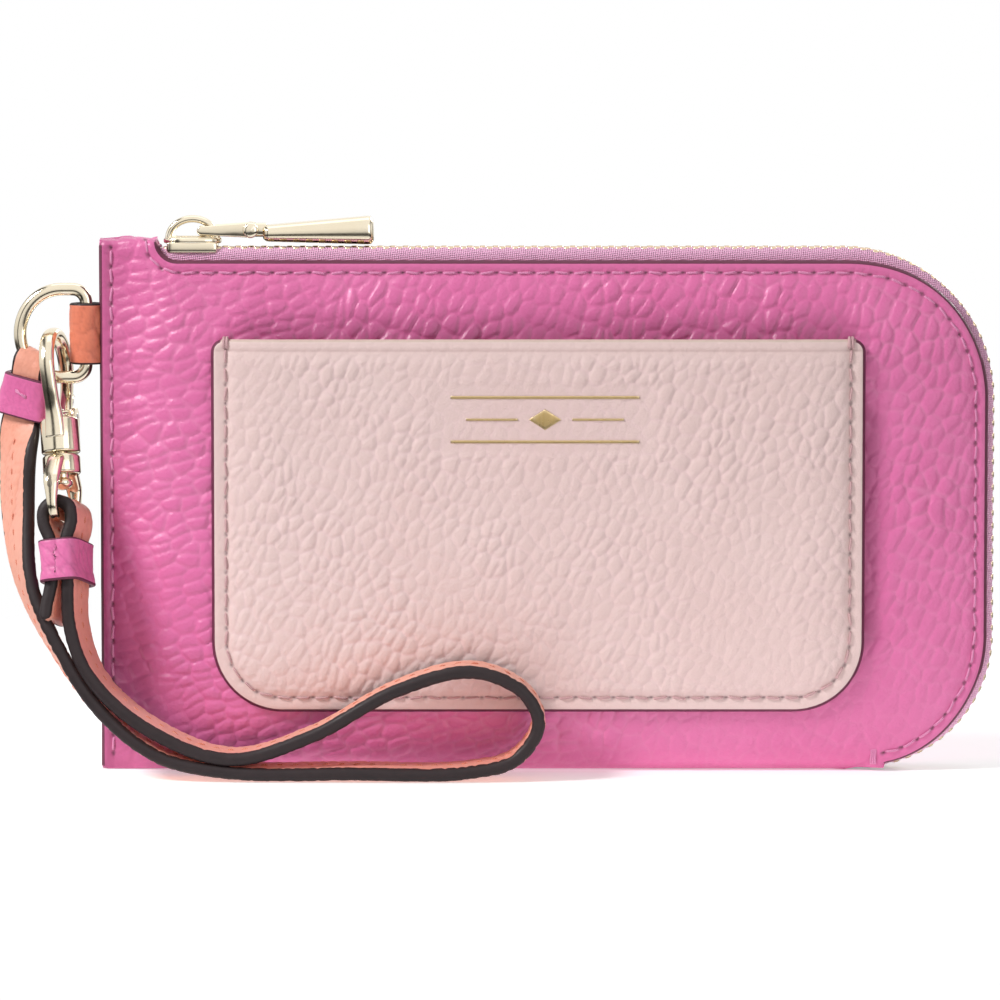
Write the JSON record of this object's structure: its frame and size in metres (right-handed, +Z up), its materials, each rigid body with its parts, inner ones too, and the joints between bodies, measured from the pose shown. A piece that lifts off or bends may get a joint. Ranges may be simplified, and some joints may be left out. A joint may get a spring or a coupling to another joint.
{
  "type": "wristlet wallet",
  "caption": "Zip-around wristlet wallet with front card pocket, slider with two-part pull, D-ring on a side tab, and clip-on wrist strap with swivel hook.",
  "frame": {"origin": "middle of the bottom fold, on the surface the wallet stands on", "axes": "+X to the right, along the wallet's width, +Y to the back and +Z up; the card pocket faces -Y"},
  "size_m": [0.1631, 0.0272, 0.0905],
  "materials": {
    "orchid_leather": "pebbled, semi-matt",
    "blush_leather": "pebbled, semi-matt",
    "coral_leather": "smooth with fine creases, dark painted edges",
    "lining_fabric": "plain woven",
    "zip_tape": "woven twill",
    "pale_gold": "polished, pale gold plating",
    "spring_steel": "bright"
  },
  "bodies": {
    "wallet": {"outer_shell": "orchid_leather", "lining_bag": "lining_fabric", "inner_slip_pocket": "lining_fabric", "card_pocket": "blush_leather", "zip_tape_back": "zip_tape", "zip_tape_front_start": "zip_tape", "zip_teeth_back": "pale_gold", "zip_teeth_front_start": "pale_gold", "zip_stop_start": "pale_gold", "zip_stop_end": "pale_gold", "side_tab": "coral_leather"},
    "mouth": {"front_mouth_panel": "orchid_leather", "front_mouth_lining": "lining_fabric", "card_pocket_mouth_half": "blush_leather", "zip_tape_front": "zip_tape", "zip_teeth_front": "pale_gold"},
    "slider": {"zip_slider": "pale_gold"},
    "link": {"pull_link": "pale_gold", "pull_rivet": "pale_gold"},
    "pull": {"pull_bar": "pale_gold"},
    "ring": {"d_ring": "pale_gold", "strap_ring_end": "coral_leather", "keeper_upper": "orchid_leather"},
    "strap": {"wrist_strap": "coral_leather", "keeper_lower": "orchid_leather", "swivel_eye": "pale_gold", "swivel_rivet": "pale_gold"},
    "hook": {"hook_body": "pale_gold", "gate_pin": "spring_steel", "gate_spring": "spring_steel"},
    "gate": {"hook_gate": "pale_gold"}
  },
  "joints": [
    {"name": "zip_travel", "type": "slide", "parent": "wallet", "child": "slider", "axis": [-1, 0, 0], "range_m": [-0.1, 0]},
    {"name": "mouth_open", "type": "hinge", "parent": "wallet", "child": "mouth", "pos_m": [0.0148, -0.0097, 0.04185], "axis": [0.6926, 0, -0.7213], "range_deg": [0, 16], "stiffness_Nm_per_rad": 0.05},
    {"name": "pull_swing", "type": "hinge", "parent": "slider", "child": "link", "pos_m": [-0.0564, 0, 0.0881], "axis": [0, -1, 0], "range_deg": [0, 155]},
    {"name": "pull_bar_swing", "type": "hinge", "parent": "link", "child": "pull", "pos_m": [-0.0484, 0, 0.0882], "axis": [0, 1, 0], "range_deg": [-60, 0]},
    {"name": "ring_swing", "type": "hinge", "parent": "wallet", "child": "ring", "pos_m": [-0.0754, 0, 0.0713], "axis": [0, 0, -1], "range_deg": [0, 60]},
    {"name": "strap_swing", "type": "hinge", "parent": "ring", "child": "strap", "pos_m": [-0.0801, 0, 0.06415], "axis": [-1, 0, 0], "range_deg": [0, 45]},
    {"name": "hook_swivel", "type": "hinge", "parent": "strap", "child": "hook", "pos_m": [-0.0801, -0.0009, 0.06415], "axis": [-0.0637, 0.2505, 0.966], "range_deg": [-18, 3]},
    {"name": "gate_open", "type": "hinge", "parent": "hook", "child": "gate", "pos_m": [-0.0789, 0.00068, 0.05751], "axis": [0.9671, -0.2233, 0.1217], "range_deg": [0, 16], "stiffness_Nm_per_rad": 0.003}
  ]
}
